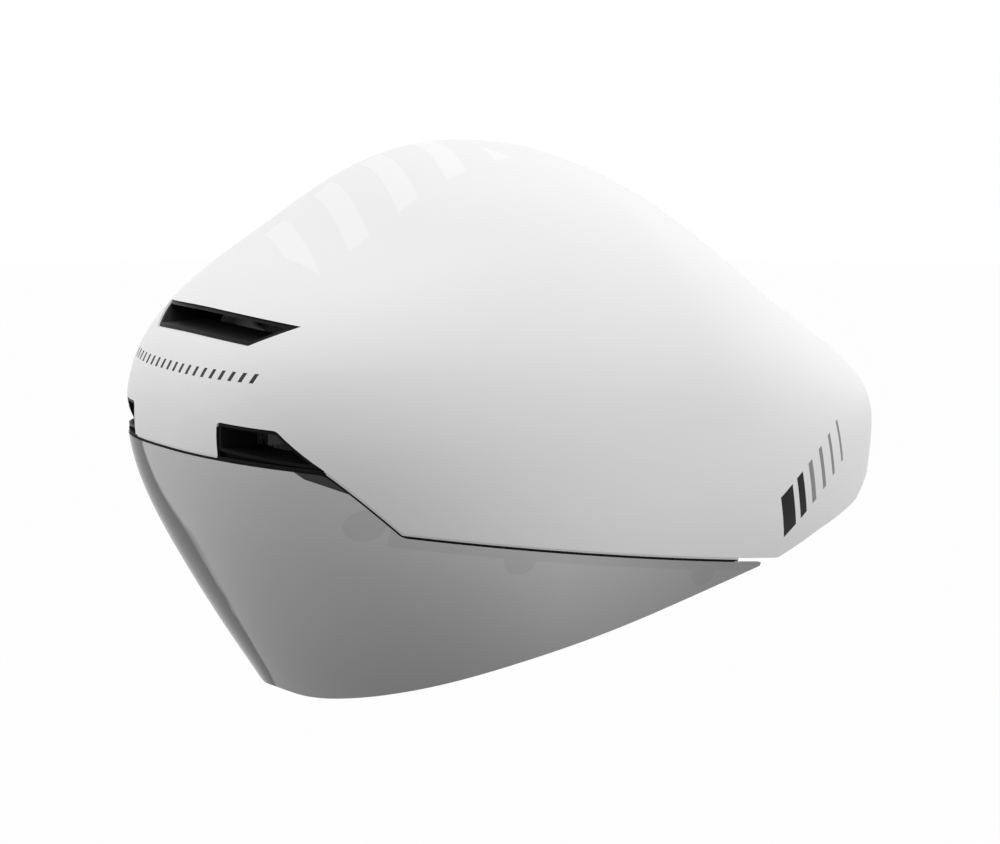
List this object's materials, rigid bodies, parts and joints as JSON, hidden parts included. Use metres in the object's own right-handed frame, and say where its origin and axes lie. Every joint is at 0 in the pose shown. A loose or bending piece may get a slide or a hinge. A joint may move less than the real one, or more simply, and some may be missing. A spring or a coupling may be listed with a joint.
{
  "type": "aero time trial helmet",
  "caption": "Aero time trial cycling helmet with a smooth full shell, short swept tail, flush wrap-round smoke visor, brow vents and an inner fit system.",
  "frame": {"origin": "middle of the head opening, level with the shell's brow edge", "axes": "+X to the wearer's left, -Y to the front, +Z to the crown"},
  "size_m": [0.212, 0.3017, 0.1989],
  "materials": {
    "shell_white": "satin white",
    "rubber_black": "matte black",
    "smoke_lens": "clear smoke, glossy",
    "frame_black": "satin black",
    "magnet": "nickel plated",
    "foam_grey": "moulded bead foam",
    "anchor_grey": "moulded",
    "slip_dark": "smooth, low friction",
    "elastomer": "matte",
    "pad_fabric": "brushed knit",
    "webbing": "woven",
    "fittings_black": "moulded, fine texture",
    "dial_rubber": "overmoulded grip"
  },
  "bodies": {
    "helmet": {"outer_shell": "shell_white", "seal_strip": "rubber_black", "visor_seat_rim": "frame_black", "seat_magnets_left": "magnet", "seat_magnets_right": "magnet", "upper_vent_duct": "frame_black", "brow_vent_duct_left": "frame_black", "brow_vent_duct_right": "frame_black", "foam_liner": "foam_grey", "front_strap_anchor_left": "anchor_grey", "front_strap_anchor_right": "anchor_grey", "rear_strap_anchor_left": "anchor_grey", "rear_strap_anchor_right": "anchor_grey", "slip_anchor_front": "elastomer", "slip_anchor_rear": "elastomer", "slip_anchor_left": "elastomer", "slip_anchor_right": "elastomer", "front_strap_left": "webbing", "front_strap_right": "webbing", "rear_strap_left": "webbing", "rear_strap_right": "webbing", "strap_divider_left": "fittings_black", "strap_divider_right": "fittings_black", "chin_strap_left": "webbing", "chin_strap_right": "webbing", "buckle_female": "fittings_black", "strap_keeper": "elastomer", "chin_pad": "pad_fabric"},
    "visor": {"visor_lens": "smoke_lens", "visor_magnets_left": "magnet", "visor_magnets_right": "magnet"},
    "slip_liner": {"slip_liner": "slip_dark", "brow_pad": "pad_fabric", "front_crown_pad_left": "pad_fabric", "front_crown_pad_right": "pad_fabric", "rear_crown_pad_left": "pad_fabric", "rear_crown_pad_right": "pad_fabric", "temple_pad_left": "pad_fabric", "temple_pad_right": "pad_fabric", "cradle_guide": "fittings_black", "belt_clip_left": "fittings_black", "belt_clip_right": "fittings_black"},
    "cradle": {"cradle_frame": "fittings_black", "neck_pad_left": "pad_fabric", "neck_pad_right": "pad_fabric", "dial_housing": "fittings_black", "belt_arm_left": "fittings_black", "belt_arm_right": "fittings_black"},
    "dial": {"dial_knob": "dial_rubber", "drive_pinion": "fittings_black"},
    "strip_left": {"toothed_strip_left": "fittings_black"},
    "strip_right": {"toothed_strip_right": "fittings_black"},
    "buckle_male": {"buckle_male": "fittings_black"},
    "lever_left": {"divider_lever_left": "fittings_black"},
    "lever_right": {"divider_lever_right": "fittings_black"}
  },
  "joints": [
    {"name": "visor_slide", "type": "slide", "parent": "helmet", "child": "visor", "axis": [0, 0, -1], "range_m": [0, 0.12]},
    {"name": "slip_turn", "type": "hinge", "parent": "helmet", "child": "slip_liner", "pos_m": [0, 0, 0], "axis": [0, 0, 1], "range_deg": [-2, 2], "stiffness_Nm_per_rad": 1.5},
    {"name": "cradle_height_slide", "type": "slide", "parent": "slip_liner", "child": "cradle", "axis": [0, 0, 1], "range_m": [-0.006, 0.006]},
    {"name": "dial_turn", "type": "hinge", "parent": "cradle", "child": "dial", "pos_m": [0, 0.0985, -0.013], "axis": [0, -1, 0], "range_deg": [0, 200.5]},
    {"name": "strip_left_slide", "type": "slide", "parent": "cradle", "child": "strip_left", "axis": [-1, 0, 0], "range_m": [0, 0.014]},
    {"name": "strip_right_slide", "type": "slide", "parent": "cradle", "child": "strip_right", "axis": [1, 0, 0], "range_m": [0, 0.014]},
    {"name": "buckle_release", "type": "slide", "parent": "helmet", "child": "buckle_male", "axis": [0.7295, 0, -0.684], "range_m": [0, 0.018], "deforming": ["chin_strap_left"]},
    {"name": "lever_left_hinge", "type": "hinge", "parent": "helmet", "child": "lever_left", "pos_m": [0.07252, 0.01732, 0.01294], "axis": [-0.1044, 0.9945, 0], "range_deg": [0, 75]},
    {"name": "lever_right_hinge", "type": "hinge", "parent": "helmet", "child": "lever_right", "pos_m": [-0.07252, 0.01732, 0.01294], "axis": [-0.1044, -0.9945, 0], "range_deg": [0, 75]}
  ],
  "couplings": [
    {"joint": "strip_left_slide", "follows": "dial_turn", "m_per_rad": 0.004},
    {"joint": "strip_right_slide", "follows": "dial_turn", "m_per_rad": 0.004}
  ]
}
